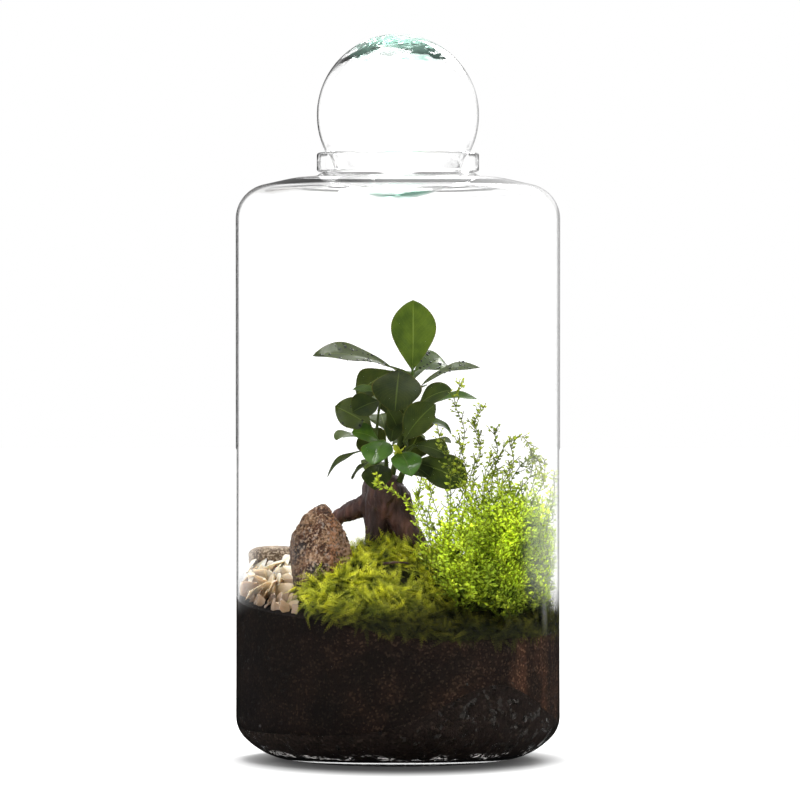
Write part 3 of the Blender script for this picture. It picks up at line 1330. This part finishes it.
# %% Leaf tables
SHOOTS = {
    "crown": {
        "stem": [(-5, 7, 187), (-1, 6, 205), (3, 4, 225), (7, 3, 245), (9.5, 2, 260)],
        "leaves": [
            ((9.8, 2, 263), (10.5, -3, 311), 31, (0.1, -1, 0.1), 0.03, 1.0, 0),
            ((-5, 0, 266), (-56.5, -12, 277.5), 24, (0, -0.55, 1), 0.05, 0.15, 1),
            ((11, 6, 263), (33, 28, 271), 20, (0.2, -0.9, 0.8), 0.08, 0.4, 1),
            ((15, 0, 252), (56, -6, 266), 13, (-0.2, -0.45, 1), 0.12, 0.25, 1),
            ((1, -5, 264), (-2, -33, 237), 34, (0, -0.85, 0.6), 0.08, 0.1, 0),
            ((-4, 8, 263), (-28, 18, 246), 24, (-0.3, -0.9, 0.6), 0.08, 0.1, 0),
            ((-6, 2, 246), (-31, 4, 250), 14, (0, -0.35, 1), 0.08, 0.4, 0),
            ((13, -3, 239), (36, -15, 251), 18, (0.2, -0.8, 0.7), 0.1, 0.2, 0),
            ((18, 9, 239), (55, 14, 243), 14, (0, -0.35, 1), 0.12, 0.45, 0),
            ((9, 12, 256), (8, 47, 262), 26, (0, 0.3, 1), 0.1, 0.3, 0),
            ((2, 13, 240), (-14, 44, 238), 24, (0, 0.4, 1), 0.1, 0.2, 0),
            ((-2, -6, 237), (-5, -22, 215), 13, (0.3, -1, 0.3), 0.08, 0.2, 0),
            ((4, 8, 226), (-6, 20, 252), 26, (0.1, -1, 0.2), 0.08, 0.05, 0),
            ((6, 9, 214), (18, 22, 240), 26, (-0.1, -1, 0.2), 0.08, 0.05, 0),
        ],
    },
    "left": {
        "stem": [(-13, 6, 187), (-15, 4, 202), (-15, 0, 217), (-13, -3, 236)],
        "leaves": [
            ((-12, -6, 243), (-31, -15, 235), 20, (-0.1, -0.9, 0.5), 0.1, 0.2, 0),
            ((-17, -3, 224), (-43, -9, 239), 24, (0.1, -0.9, 0.5), 0.08, 0.2, 1),
            ((-12, -5, 215), (-31, -14, 222), 18, (0, -0.8, 0.8), 0.1, 0.5, 0),
            ((-20, 2, 209), (-49, -2, 193), 10, (-0.5, -0.4, 1), 0.12, 0.2, 0),
            ((-9, -10, 216), (-17, -33, 200), 22, (-0.1, -0.8, 0.8), 0.1, 0.75, 0),
            ((-12, -6, 200), (-15, -30, 183), 21, (-0.1, -0.8, 0.8), 0.1, 0.15, 0),
            ((-18, 3, 202), (-31, 4, 189), 10, (-0.4, -0.3, 1), 0.1, 0.1, 0),
            ((-20, 7, 217), (-42, 26, 218), 22, (-0.2, 0.2, 1), 0.1, 0.3, 0),
            ((-9, 6, 204), (-24, 14, 222), 22, (0, -1, 0.3), 0.08, 0.05, 0),
        ],
    },
    "right": {
        "stem": [(1, 0, 188), (5, -4, 200), (6, -6, 212), (5, -8, 224)],
        "leaves": [
            ((4, -12, 216), (24, -26, 241), 23, (-0.3, -1, 0.4), 0.08, 0.2, 0),
            ((0, -11, 222), (-6, -24, 237), 14, (0, -1, 0.6), 0.08, 0.15, 0),
            ((16, -5, 229), (37, -1, 222), 11, (0.2, -0.5, 1), 0.12, 0.4, 0),
            ((11, -9, 213), (34, -18, 206), 18, (0.2, -0.8, 0.7), 0.1, 0.25, 0),
            ((1, -12, 208), (9, -39, 194), 21, (0, -0.7, 0.9), 0.1, 0.7, 0),
            ((10, -9, 202), (47, -19, 187), 26, (0.1, -1, 0.4), 0.1, 0.22, 0),
            ((6, -6, 200), (22, -21, 191), 18, (0.1, -0.8, 0.8), 0.1, 0.25, 0),
            ((0, -12, 203), (-2, -21, 214), 8, (0, -0.6, 1), 0.05, 2.0, 0),
            ((0, -13, 206), (5, -22, 212), 6, (0, -0.6, 1), 0.05, 2.0, 0),
            ((-1, -13, 206), (-7, -22, 210), 6, (0, -0.6, 1), 0.05, 2.0, 0),
            ((10, 2, 211), (36, 16, 213), 22, (0.2, 0.2, 1), 0.1, 0.3, 0),
            ((4, 4, 200), (14, 14, 220), 24, (0.1, -1, 0.3), 0.08, 0.05, 0),
        ],
    },
    "back": {
        "stem": [(-8, 15, 188), (-8, 21, 202), (-9, 26, 218)],
        "leaves": [
            ((-9, 29, 222), (-12, 54, 232), 23, (0, -0.3, 1), 0.08, 0.3, 0),
            ((-13, 26, 212), (-38, 43, 216), 21, (0, 0, 1), 0.1, 0.3, 0),
            ((-4, 25, 212), (17, 48, 214), 21, (0, 0.2, 1), 0.1, 0.3, 0),
            ((-9, 24, 200), (-20, 50, 194), 20, (0, 0.4, 1), 0.1, 0.3, 0),
        ],
    },
}

# %% [markdown]
# The stalk leaves the stem a little below the blade and curves into it. The blade's half width rises
# slowly from the base and falls fast to a short point, which is what makes a fig's leaf look like one.

# %% One leaf
LEAF_ROWS, LEAF_COLUMNS = 26, 12
LEAF_FOLD = 0.2
ON_RIB = (0.5, 0.02, 0)


def half_width(width, along):
    return width / 2 * math.sin(math.pi * along**1.45) ** 0.7


def leaf_shape(gather, leaf, stem_path, draw):
    base, tip, width, face, arch, tone, wet = leaf
    base, tip = np.array(base, float), np.array(tip, float)
    length = np.linalg.norm(tip - base)
    along = (tip - base) / length
    side = unit(np.cross(along, face))
    face = np.cross(side, along)
    phase = draw.uniform(0, 6)
    curl = draw.uniform(-0.05, 0.1)
    vertices, places, covers = [], [], []
    for row in range(LEAF_ROWS + 1):
        s = row / LEAF_ROWS
        half = half_width(width, s) if 0 < s < 1 else 0.0
        half = max(half, 0.25 * (1 - s))
        for column in range(LEAF_COLUMNS + 1):
            u = -1 + 2 * column / LEAF_COLUMNS
            fold = LEAF_FOLD * abs(u) ** 1.3 * half
            wave = 0.5 * abs(u) ** 3 * math.sin(11 * s + phase + (2 if u > 0 else 0))
            bow = 4 * arch * length * s * (1 - s) - curl * length * s**4
            vertices.append(base + along * (s * length) + side * (u * half) + face * (bow + fold + wave))
            places.append((0.5 + 0.5 * u, s, 0))
            covers.append(float(wet) if 0.1 < s < 0.9 and abs(u) < 0.85 else 0.0)
    faces = []
    for row in range(LEAF_ROWS):
        for column in range(LEAF_COLUMNS):
            a = row * (LEAF_COLUMNS + 1) + column
            b = a + LEAF_COLUMNS + 1
            faces.append((a, a + 1, b + 1, b))
    normal = np.cross(vertices[1] - vertices[0], vertices[LEAF_COLUMNS + 1] - vertices[0])
    if normal.dot(face) < 0:
        faces = [tuple(reversed(one)) for one in faces]
    gather.add(vertices, faces, place=places, tone=tone, cover=covers)
    below = base - np.array((0, 0, 4))
    nearest = stem_path[np.argmin(np.linalg.norm(stem_path - below, axis=1))]
    bend = [nearest, (nearest + base) / 2 + face * 0.6, base, base + along * 0.12 * length]
    stalk = tube(smooth_path(bend, 10), [1.1, 0.85, 0.7, 0.3], 8)
    gather.add(*stalk, place=ON_RIB, tone=0.5 * tone + 0.1, cover=0.0)


def shoot_piece(name, shoot):
    draw = random.Random(len(name))
    made = Gather()
    stem_path = smooth_path(shoot["stem"], 40)
    made.add(*tube(stem_path, [2.3, 1.6, 1.1, 0.8], 12), place=ON_RIB, tone=0.1, cover=0.0)
    for leaf in shoot["leaves"]:
        leaf_shape(made, leaf, stem_path, draw)
    return made.piece(f"tree_shoot_{name}")


# %% [markdown]
# A leaf is dark above and paler below, with a light rib. Light from behind turns it a warmer green.
# The veins are thin waves that run out from the rib, used as colour and as a fine relief. Wet leaves
# and the bright ones in front have a glossy coat, and wet ones are a little greyer. The fresh leaf at
# the top has no coat, because it glows with the light that comes through it.

# %% Leaf finish
fig_leaf = Finish("fig leaf", 0.4, 0.05)
across, along, _ = fig_leaf.parts(fig_leaf.stored("place", "Vector"))
leaf_tone, leaf_wet = fig_leaf.stored("tone"), fig_leaf.stored("cover")
leaf_grain = grained(fig_leaf, 3.0)
VEINS, VEIN_SLANT = 15.0, 11.0
LEAF_STOPS = [
    (0, (0.014, 0.018, 0.005)),
    (0.15, (0.032, 0.047, 0.015)),
    (0.35, (0.042, 0.11, 0.012)),
    (0.5, (0.038, 0.06, 0.012)),
    (1.0, (0.5, 0.55, 0.04)),
]

aside = fig_leaf.calc("ABSOLUTE", fig_leaf.calc("SUBTRACT", across, 0.5))
rib, margin = fig_leaf.fade(aside, 0.024, 0.006), fig_leaf.fade(aside, 0.48, 0.497)
vein_run = fig_leaf.calc("MULTIPLY_ADD", along, VEINS, leaf_grain["Coarse"])
vein_run = fig_leaf.calc("SUBTRACT", vein_run, fig_leaf.times(aside, VEIN_SLANT))
vein_wave = fig_leaf.calc("SUBTRACT", fig_leaf.calc("FRACT", vein_run), 0.5)
vein = fig_leaf.fade(fig_leaf.calc("ABSOLUTE", vein_wave), 0.1, 0.0)
patchy = fig_leaf.ramp(leaf_grain["Coarse"], [(0.35, (0.7, 0.75, 0.75)), (0.65, (1.25, 1.2, 1.1))])
under_side = fig_leaf.add("ShaderNodeNewGeometry").outputs["Backfacing"]
leaf_colour = fig_leaf.coats(
    fig_leaf.tint(fig_leaf.ramp(fig_leaf.times(leaf_tone, 0.5), LEAF_STOPS), patchy),
    (fig_leaf.times(vein, 0.12), (0.1, 0.16, 0.03, 1)),
    (fig_leaf.times(leaf_wet, 0.35), (0.07, 0.085, 0.055, 1)),
    (fig_leaf.times(rib, 0.35), (0.14, 0.19, 0.05, 1)),
    (fig_leaf.times(margin, 0.6), (0.13, 0.1, 0.03, 1)),
    (fig_leaf.times(under_side, 0.3), (0.06, 0.085, 0.04, 1)),
)
glossy = fig_leaf.largest(fig_leaf.fade(leaf_tone, 0.6, 0.7, 0.0, 0.5), fig_leaf.times(leaf_wet, 0.3))
fig_leaf.wear(
    {
        "Base Color": leaf_colour,
        "Coat Weight": fig_leaf.times(glossy, fig_leaf.fade(leaf_tone, 0.95, 0.85)),
        "Coat Roughness": 0.14,
        "Sheen Weight": 0.025,
        "Sheen Roughness": 0.5,
        "Sheen Tint": (0.85, 0.9, 0.8, 1),
    }
)
fig_leaf.bump(rib, 0.5, 0.7)
fig_leaf.bump(vein, 0.14, 0.3)
fig_leaf.bump(leaf_grain["Fine"], 0.12, 0.6)
fig_leaf.glow_through(0.3, fig_leaf.tint(leaf_colour, (1.9, 1.9, 0.7, 1)))

# %% [markdown]
# With the finish ready, the four shoots are made from the tables, one piece for each node of the frame.

# %% Shoots
shoot_pieces = {name: shoot_piece(name, shoot) for name, shoot in SHOOTS.items()}
for name, piece in shoot_pieces.items():
    settle(piece, fig_leaf, "leaf", f"ficus_shoot_{name}")

# %% [markdown]
# Some leaves are wet. A drop is a flattened bead, and the scattering tree sets it on the leaves that
# are marked as wet. On a dark leaf a drop looks dark with one sharp glint, so its water is dark too.

# %% Drops of water
drop_shape = bmesh.new()
bmesh.ops.create_icosphere(drop_shape, subdivisions=2, radius=0.5 * MM)
for vertex in drop_shape.verts:
    vertex.co.z *= 0.6
drop_mesh = bpy.data.meshes.new("drop")
drop_shape.to_mesh(drop_mesh)
drop_shape.free()
drop_mesh.shade_smooth()
drop = linked("drop", drop_mesh)

water = Finish("water drops", 0.02, 0.7)
water.wear({"Base Color": (0.03, 0.04, 0.025, 1), "IOR": 1.33, "Transmission Weight": 0.5})
DROP_SIZES = {"Density": 42000.0, "Smallest": 1.0, "Largest": 2.4, "Wall radius": INNER_WALL}
for name, piece in shoot_pieces.items():
    if any(leaf[-1] for leaf in SHOOTS[name]["leaves"]):
        values = {"Piece": drop, **DROP_SIZES, "Seed": 5, "Finish": water.made}
        drops = scatter.grow(f"drops_{name}", piece, values)
        drops.data.shade_smooth()
        settle(drops, water, "leaf")
forget(drop)

# %% [markdown]
# ## Spikemoss
# A spray is a wiry stem that branches again and again, with rows of tiny leaflets on every twig. The
# twigs are drawn first, as chains of points with a `strength` that shrinks towards the tips. A second
# geometry nodes tree turns them into stems and sets leaflets along them.

# %% Spray tables
SPRAYS = {
    "front_tip": ((24, -50), [(33, -55, 150), (35, -58, 180), (33, -62, 204), (26, -62, 224)]),
    "middle_tip": ((46, -46), [(54, -49, 158), (48, -52, 190), (55, -52, 212), (50, -51, 231)]),
    "wiry": ((42, -18), [(50, -22, 165), (41, -24, 198), (45, -22, 222), (38, -20, 243), (44, -21, 257)]),
    "arching": ((62, -58), [(70, -60, 152), (62, -61, 184), (70, -58, 212), (84, -51, 219), (93, -42, 196)]),
    "wall": ((84, -24), [(95, -22, 150), (90, -23, 172), (98, -20, 188), (99, -18, 203)]),
    "heart": ((68, -8), [(77, -11, 150), (69, -13, 180), (78, -14, 200), (75, -14, 216)]),
    "wall_back": ((84, 16), [(93, 22, 145), (88, 26, 168), (95, 28, 192)]),
    "behind": ((56, 36), [(66, 42, 150), (58, 46, 180), (65, 48, 206)]),
    "low_front": ((42, -72), [(50, -77, 132), (41, -80, 155), (47, -80, 180)]),
    "leaning": ((18, -34), [(13, -42, 164), (4, -47, 178), (-7, -48, 184), (-15, -47, 189)]),
    "corner": ((68, -74), [(75, -73, 130), (66, -74, 154), (73, -70, 177)]),
    "wall_front": ((86, -44), [(94, -42, 132), (89, -46, 155), (94, -41, 178)]),
    "back_left": ((26, 50), [(32, 57, 150), (22, 60, 182), (27, 62, 206)]),
    "back_right": ((66, 66), [(74, 69, 130), (68, 72, 158), (73, 70, 184)]),
    "back": ((0, 74), [(-6, 78, 132), (1, 81, 152), (-5, 81, 170)]),
}

# %% [markdown]
# Every spray gets its main stem and a few thinner ones that fan out beside it. Below a certain height
# the thicket is dense, with long twigs, and above it the stems stand free and wiry with short ones.
# The list says how many side stems a spray has where it isn't the usual number.

# %% Twigs of a spray
SIDE_STEMS = 6
FEWER_STEMS = {"leaning": 0, "wiry": 2, "front_tip": 3, "middle_tip": 5}
DENSE_X, DENSE_Z = (5, 25, 40, 60, 100), (130, 138, 156, 166, 172)
SPRAY_REACH, STEM_STEPS, GOLDEN_TURN = RIM - 1.5, 30, 2.4
SHORTEST_TWIG, LONGEST_TWIG, LONGEST_ASIDE = 6.5, 20, 17


def rotate_about(vector, axis, angle):
    axis = unit(axis)
    turned = vector * math.cos(angle) + np.cross(axis, vector) * math.sin(angle)
    return turned + axis * axis.dot(vector) * (1 - math.cos(angle))


class Twigs:
    def __init__(self, seed):
        self.draw = random.Random(seed)
        self.points = []
        self.edges = []
        self.values = {"strength": [], "leafy": [], "tone": []}

    def chain(self, path, strength, leafy, tone):
        start = len(self.points)
        for i, point in enumerate(path):
            along = i / (len(path) - 1)
            point = np.array(point, float)
            reach = math.hypot(point[0], point[1])
            if reach > SPRAY_REACH:
                point[:2] *= SPRAY_REACH / reach
            point[2] = max(point[2], float(moss_top(point[0], point[1])) - 4)
            self.points.append(point)
            self.values["strength"].append(strength * (1 - 0.5 * along))
            self.values["leafy"].append(leafy[0] + (leafy[1] - leafy[0]) * along)
            self.values["tone"].append(float(np.clip(tone + 0.3 * along, 0, 1)))
            if i:
                self.edges.append((start + i - 1, start + i))

    def curve(self, root, heading, length, steps):
        path = [np.array(root, float)]
        heading = unit(heading)
        for _ in range(steps):
            jitter = np.array([self.draw.uniform(-1, 1) for _ in range(3)]) * 0.16
            heading = unit(heading + np.array((0, 0, 0.4)) / steps + jitter)
            path.append(path[-1] + heading * length / steps)
        return path

    def branch(self, root, heading, length, tone, depth):
        path = self.curve(root, heading, length, 5 if depth else 3)
        tone += self.draw.uniform(-0.25, 0.25)
        self.chain(path, 0.6 if depth else 0.5, (0.95, 0.75), tone)
        if depth == 0:
            return
        axis = unit(np.cross(heading, [self.draw.uniform(-1, 1), self.draw.uniform(-1, 1), 0.4]))
        count = int(length / 3.6)
        for i in range(count):
            where = min(1 + int((len(path) - 2) * (i + 0.5) / count), len(path) - 2)
            along = unit(path[where + 1] - path[where])
            out = rotate_about(along, axis, (1 if i % 2 else -1) * self.draw.uniform(0.6, 1.05))
            reach = (3 + 0.4 * length * (1 - i / count)) * self.draw.uniform(0.7, 1.2)
            self.branch(path[where], out, reach, tone + 0.12, depth - 1)

    def stem(self, points, longest, tone):
        path = smooth_path(points, STEM_STEPS)
        self.chain(path, 1.0, (0.55, 0.9), tone)
        length = float(np.sum(np.linalg.norm(np.diff(path, axis=0), axis=1)))
        count = int(length / 4.6)
        for i in range(count):
            along = 0.1 + 0.88 * (i + self.draw.random() * 0.6) / count
            where = min(int(along * (STEM_STEPS - 1)), STEM_STEPS - 2)
            root = path[where]
            tangent = unit(path[where + 1] - root)
            around = GOLDEN_TURN * i + self.draw.uniform(-0.4, 0.4)
            out = np.array((math.cos(around), math.sin(around), 0))
            out = unit(out - tangent * out.dot(tangent) + 0.8 * tangent)
            below = np.interp(root[0], DENSE_X, DENSE_Z) - root[2]
            dense = float(np.clip(below / 45 + 0.2, 0, 1))
            reach = (SHORTEST_TWIG + (longest - SHORTEST_TWIG) * dense) * self.draw.uniform(0.6, 1.25)
            self.branch(root, out, reach, tone + 0.25 * along, 1 if reach > 8 else 0)
        for _ in range(3):
            out = [self.draw.uniform(-1, 1), self.draw.uniform(-1, 1), 1.1]
            self.branch(path[-2], out, self.draw.uniform(4, 7), 0.8, 0)


def spray_twigs(name, root, stem_points):
    twigs = Twigs(sum(map(ord, name)))
    x, y = root
    foot = (x, y, float(moss_top(x, y)) - 6)
    main = np.array([foot, *stem_points], float)
    twigs.stem(main, LONGEST_TWIG, 0.3)
    count = FEWER_STEMS.get(name, SIDE_STEMS)
    for k in range(count):
        share = 0.92 - 0.6 * k / max(1, count - 1) + twigs.draw.uniform(-0.06, 0.06)
        turn = GOLDEN_TURN * k + twigs.draw.uniform(-0.5, 0.5)
        lean = 15 * np.array((math.cos(turn), math.sin(turn), 0))
        points = [main[0] + lean * 0.3]
        for i in range(1, len(main)):
            lifted = main[0] + (main[i] - main[0]) * share
            points.append(lifted + lean * (0.35 + 0.65 * i / (len(main) - 1)))
        twigs.stem(points, LONGEST_ASIDE, 0.05 + 0.2 * share)
    return twigs


# %% [markdown]
# The tree reads the chains as curves. Each curve becomes a thin round stem, and points along it carry
# leaflets that point left and right in turn, a little randomly, as large as the twig is leafy there.

# %% Tree that leafs the twigs
LEAFING_SIZES = {"Spacing": "Float", "Stem radius": "Float"}
leafing = Growth("leafed twigs", {"Twigs": "Geometry", "Leaflet": "Object", **LEAFING_SIZES})
given = leafing.given
lines = leafing.add("GeometryNodeMeshToCurve", {"Mesh": given["Twigs"]}).outputs[0]
thickness = {"Curve": lines, "Radius": leafing.stored("strength")}
lines = leafing.add("GeometryNodeSetCurveRadius", thickness).outputs[0]
section = {"Resolution": 3, "Radius": given["Stem radius"]}
section = leafing.add("GeometryNodeCurvePrimitiveCircle", section).outputs[0]
stems = leafing.add("GeometryNodeCurveToMesh", {"Curve": lines, "Profile Curve": section}).outputs[0]
stems = leafing.marked(stems, "along", 0.25, "POINT")
bud_spots = {"Curve": lines, "Length": given["Spacing"]}
buds = leafing.add("GeometryNodeCurveToPoints", bud_spots, mode="LENGTH").outputs
odd = leafing.calc("MODULO", leafing.add("GeometryNodeInputIndex").outputs[0], 2.0)
swing = leafing.calc("ADD", leafing.times(odd, math.pi), leafing.random(-0.7, 0.7, 1))
bud_turn = leafing.turned(buds["Rotation"], z=swing)
bud_size = leafing.times(leafing.random(0.75, 1.3, 2), leafing.stored("leafy"))
leaflets = leafing.solid(leafing.copies(buds["Points"], given["Leaflet"], bud_turn, bud_size))
together = leafing.add("GeometryNodeJoinGeometry", {0: stems})
leafing.set(together, {0: leaflets})
leafing.close(together.outputs[0])

# %% [markdown]
# A leaflet is two small triangles, folded a little, because there are tens of thousands of them. Each
# spray's twigs are made as a bare skeleton of edges, the tree leafs it, and the skeleton is thrown away.

# %% Leaflet and sprays
leaflet = Gather()
leaflet.add(
    [(0.2, 0, 0), (1.1, 0.7, 1.5), (2.2, -0.6, 0.4), (3.5, 0.1, 2.1)],
    [(0, 2, 1), (1, 2, 3)],
    along=[0.4, 0.8, 0.7, 1.0],
)
leaflet = leaflet.piece("leaflet")
SPRAY_STOPS = [(0, (0.1, 0.12, 0.012)), (0.4, (0.42, 0.52, 0.025)), (1, (0.76, 1.0, 0.1))]
spikemoss = plant_finish("spikemoss", SPRAY_STOPS, 6, (84, 112), 165, 0.5)
SPRAY_VALUES = {"Leaflet": leaflet, "Spacing": 2.2 * MM, "Stem radius": 0.3 * MM, "Finish": spikemoss.made}
for number, (name, (root, stem_points)) in enumerate(SPRAYS.items()):
    twigs = spray_twigs(name, root, stem_points)
    carrier = new_piece("twigs", twigs.points, [], smooth=False, edges=twigs.edges)
    for key, values in twigs.values.items():
        store(carrier, key, values)
    spray = leafing.grow(f"spray_{name}", carrier, {**SPRAY_VALUES, "Seed": number})
    settle(spray, spikemoss, "spray", f"spikemoss_{name}")
    forget(carrier)
forget(leaflet)

# %% [markdown]
# ## The twig
# A bit of dark wood lies on the moss in front of the tree.

# %% Twig
TWIG_ENDS = [(-10, -47, 1.0), (7, -45, 4.5)]  # the last number is the height over the moss
twig_ends = [np.array((x, y, float(moss_top(x, y)) + over)) for x, y, over in TWIG_ENDS]
twig_middle = twig_ends[0] + 0.55 * (twig_ends[1] - twig_ends[0]) + (0, 0, 0.6)
twig_path = smooth_path([twig_ends[0], twig_middle, twig_ends[1]], 24)
settle(new_piece("dark_twig", *tube(twig_path, [0.9, 0.8, 0.6], 12)), bark, "bark", "twig")
